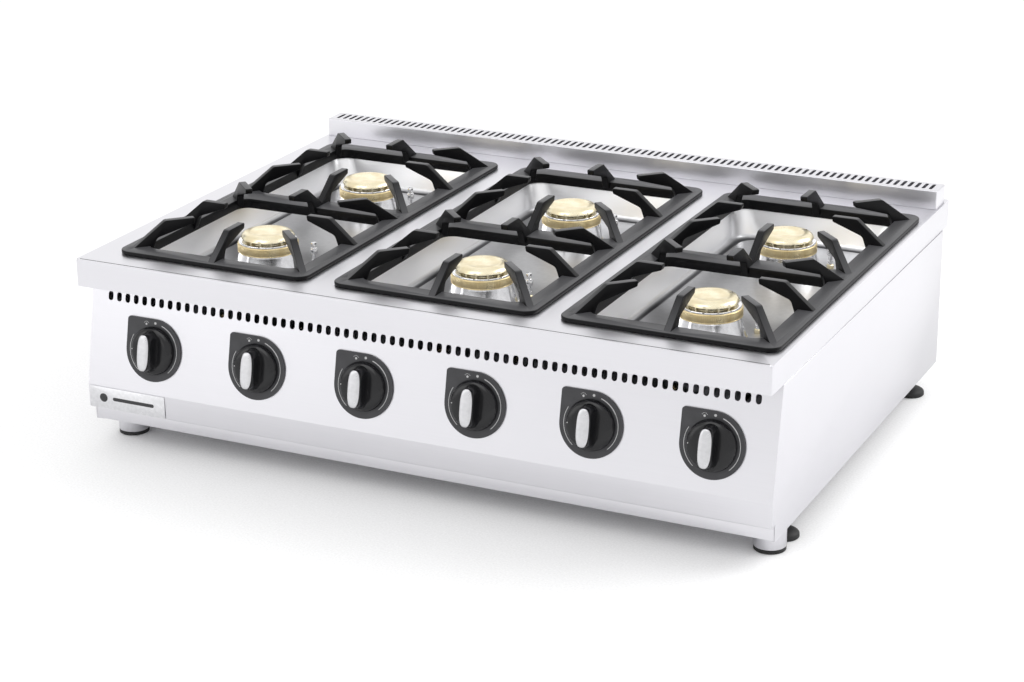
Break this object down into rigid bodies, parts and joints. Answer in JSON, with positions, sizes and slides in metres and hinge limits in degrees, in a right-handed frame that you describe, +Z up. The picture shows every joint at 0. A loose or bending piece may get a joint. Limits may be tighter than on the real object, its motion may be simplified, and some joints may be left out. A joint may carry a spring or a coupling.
{
  "type": "countertop gas range",
  "caption": "Countertop gas range: stainless casing with sloped control panel, flue riser, drop-in burner wells, lift-off cast grates, brass burners and turning knobs.",
  "frame": {"origin": "on the floor under the middle of the worktop", "axes": "+X to the viewer's right, +Y to the back, +Z up"},
  "size_m": [1.2, 0.9125, 0.377],
  "materials": {
    "brushed_steel": "brushed stainless, satin",
    "polished_steel": "bright pressed stainless",
    "galvanised_steel": "dull galvanised sheet",
    "cast_iron": "satin black enamel",
    "cast_aluminium": "machined bright",
    "brass": "turned, pale",
    "bezel_plastic": "dark grey, matt",
    "knob_plastic": "black, glossy",
    "gas_tube": "dull plated tube",
    "black_rubber": "moulded, matt",
    "badge_plate": "blank, satin"
  },
  "bodies": {
    "range": {"back_panel": "galvanised_steel", "badge_plate": "badge_plate", "base_tray": "brushed_steel", "burner_body_left_front": "cast_aluminium", "burner_body_left_rear": "cast_aluminium", "burner_body_middle_front": "cast_aluminium", "burner_body_middle_rear": "cast_aluminium", "burner_body_right_front": "cast_aluminium", "burner_body_right_rear": "cast_aluminium", "flue_riser": "brushed_steel", "front_panel": "brushed_steel", "gas_inlet": "brass", "gas_manifold": "gas_tube", "gas_tap_1": "gas_tube", "gas_tap_2": "gas_tube", "gas_tap_3": "gas_tube", "gas_tap_4": "gas_tube", "gas_tap_5": "gas_tube", "gas_tap_6": "gas_tube", "knob_bezel_1": "bezel_plastic", "knob_bezel_2": "bezel_plastic", "knob_bezel_3": "bezel_plastic", "knob_bezel_4": "bezel_plastic", "knob_bezel_5": "bezel_plastic", "knob_bezel_6": "bezel_plastic", "side_panel_left": "brushed_steel", "side_panel_right": "brushed_steel", "well_left": "polished_steel", "well_middle": "polished_steel", "well_right": "polished_steel", "worktop": "brushed_steel"},
    "knob_1": {"knob_1": "knob_plastic"},
    "knob_2": {"knob_2": "knob_plastic"},
    "knob_3": {"knob_3": "knob_plastic"},
    "knob_4": {"knob_4": "knob_plastic"},
    "knob_5": {"knob_5": "knob_plastic"},
    "knob_6": {"knob_6": "knob_plastic"},
    "grate_left": {"grate_left": "cast_iron"},
    "grate_middle": {"grate_middle": "cast_iron"},
    "grate_right": {"grate_right": "cast_iron"},
    "burner_crown_left_front": {"burner_crown_left_front": "brass"},
    "burner_cap_left_front": {"burner_cap_left_front": "brass"},
    "burner_crown_left_rear": {"burner_crown_left_rear": "brass"},
    "burner_cap_left_rear": {"burner_cap_left_rear": "brass"},
    "burner_crown_middle_front": {"burner_crown_middle_front": "brass"},
    "burner_cap_middle_front": {"burner_cap_middle_front": "brass"},
    "burner_crown_middle_rear": {"burner_crown_middle_rear": "brass"},
    "burner_cap_middle_rear": {"burner_cap_middle_rear": "brass"},
    "burner_crown_right_front": {"burner_crown_right_front": "brass"},
    "burner_cap_right_front": {"burner_cap_right_front": "brass"},
    "burner_crown_right_rear": {"burner_crown_right_rear": "brass"},
    "burner_cap_right_rear": {"burner_cap_right_rear": "brass"},
    "steel_foot_left": {"steel_foot_left": "brushed_steel"},
    "levelling_foot_left_front": {"levelling_foot_left_front": "black_rubber"},
    "levelling_foot_left_rear": {"levelling_foot_left_rear": "black_rubber"},
    "steel_foot_right": {"steel_foot_right": "brushed_steel"},
    "levelling_foot_right_front": {"levelling_foot_right_front": "black_rubber"},
    "levelling_foot_right_rear": {"levelling_foot_right_rear": "black_rubber"}
  },
  "joints": [
    {"name": "knob_1_turn", "type": "hinge", "parent": "range", "child": "knob_1", "pos_m": [-0.4755, -0.42148, 0.18069], "axis": [0, -0.9822, 0.1881], "range_deg": [0, 270]},
    {"name": "knob_2_turn", "type": "hinge", "parent": "range", "child": "knob_2", "pos_m": [-0.2805, -0.42148, 0.18069], "axis": [0, -0.9822, 0.1881], "range_deg": [0, 270]},
    {"name": "knob_3_turn", "type": "hinge", "parent": "range", "child": "knob_3", "pos_m": [-0.0855, -0.42148, 0.18069], "axis": [0, -0.9822, 0.1881], "range_deg": [0, 270]},
    {"name": "knob_4_turn", "type": "hinge", "parent": "range", "child": "knob_4", "pos_m": [0.1095, -0.42148, 0.18069], "axis": [0, -0.9822, 0.1881], "range_deg": [0, 270]},
    {"name": "knob_5_turn", "type": "hinge", "parent": "range", "child": "knob_5", "pos_m": [0.3045, -0.42148, 0.18069], "axis": [0, -0.9822, 0.1881], "range_deg": [0, 270]},
    {"name": "knob_6_turn", "type": "hinge", "parent": "range", "child": "knob_6", "pos_m": [0.4995, -0.42148, 0.18069], "axis": [0, -0.9822, 0.1881], "range_deg": [0, 270]},
    {"name": "grate_left_lift", "type": "slide", "parent": "range", "child": "grate_left", "axis": [0, 0, 1], "range_m": [0, 0.25]},
    {"name": "grate_middle_lift", "type": "slide", "parent": "range", "child": "grate_middle", "axis": [0, 0, 1], "range_m": [0, 0.25]},
    {"name": "grate_right_lift", "type": "slide", "parent": "range", "child": "grate_right", "axis": [0, 0, 1], "range_m": [0, 0.25]},
    {"name": "crown_left_front_lift", "type": "slide", "parent": "range", "child": "burner_crown_left_front", "axis": [0, 0, 1], "range_m": [0, 0.12]},
    {"name": "cap_left_front_lift", "type": "slide", "parent": "burner_crown_left_front", "child": "burner_cap_left_front", "axis": [0, 0, 1], "range_m": [0, 0.12]},
    {"name": "crown_left_rear_lift", "type": "slide", "parent": "range", "child": "burner_crown_left_rear", "axis": [0, 0, 1], "range_m": [0, 0.12]},
    {"name": "cap_left_rear_lift", "type": "slide", "parent": "burner_crown_left_rear", "child": "burner_cap_left_rear", "axis": [0, 0, 1], "range_m": [0, 0.12]},
    {"name": "crown_middle_front_lift", "type": "slide", "parent": "range", "child": "burner_crown_middle_front", "axis": [0, 0, 1], "range_m": [0, 0.12]},
    {"name": "cap_middle_front_lift", "type": "slide", "parent": "burner_crown_middle_front", "child": "burner_cap_middle_front", "axis": [0, 0, 1], "range_m": [0, 0.12]},
    {"name": "crown_middle_rear_lift", "type": "slide", "parent": "range", "child": "burner_crown_middle_rear", "axis": [0, 0, 1], "range_m": [0, 0.12]},
    {"name": "cap_middle_rear_lift", "type": "slide", "parent": "burner_crown_middle_rear", "child": "burner_cap_middle_rear", "axis": [0, 0, 1], "range_m": [0, 0.12]},
    {"name": "crown_right_front_lift", "type": "slide", "parent": "range", "child": "burner_crown_right_front", "axis": [0, 0, 1], "range_m": [0, 0.12]},
    {"name": "cap_right_front_lift", "type": "slide", "parent": "burner_crown_right_front", "child": "burner_cap_right_front", "axis": [0, 0, 1], "range_m": [0, 0.12]},
    {"name": "crown_right_rear_lift", "type": "slide", "parent": "range", "child": "burner_crown_right_rear", "axis": [0, 0, 1], "range_m": [0, 0.12]},
    {"name": "cap_right_rear_lift", "type": "slide", "parent": "burner_crown_right_rear", "child": "burner_cap_right_rear", "axis": [0, 0, 1], "range_m": [0, 0.12]},
    {"name": "steel_foot_left_turn", "type": "hinge", "parent": "range", "child": "steel_foot_left", "pos_m": [-0.57, -0.3555, 0], "axis": [0, 0, 1], "continuous": true},
    {"name": "levelling_foot_left_front_turn", "type": "hinge", "parent": "range", "child": "levelling_foot_left_front", "pos_m": [-0.5745, -0.305, 0], "axis": [0, 0, 1], "continuous": true},
    {"name": "levelling_foot_left_rear_turn", "type": "hinge", "parent": "range", "child": "levelling_foot_left_rear", "pos_m": [-0.5745, 0.35, 0], "axis": [0, 0, 1], "continuous": true},
    {"name": "steel_foot_right_turn", "type": "hinge", "parent": "range", "child": "steel_foot_right", "pos_m": [0.57, -0.3555, 0], "axis": [0, 0, 1], "continuous": true},
    {"name": "levelling_foot_right_front_turn", "type": "hinge", "parent": "range", "child": "levelling_foot_right_front", "pos_m": [0.5745, -0.305, 0], "axis": [0, 0, 1], "continuous": true},
    {"name": "levelling_foot_right_rear_turn", "type": "hinge", "parent": "range", "child": "levelling_foot_right_rear", "pos_m": [0.5745, 0.35, 0], "axis": [0, 0, 1], "continuous": true}
  ]
}
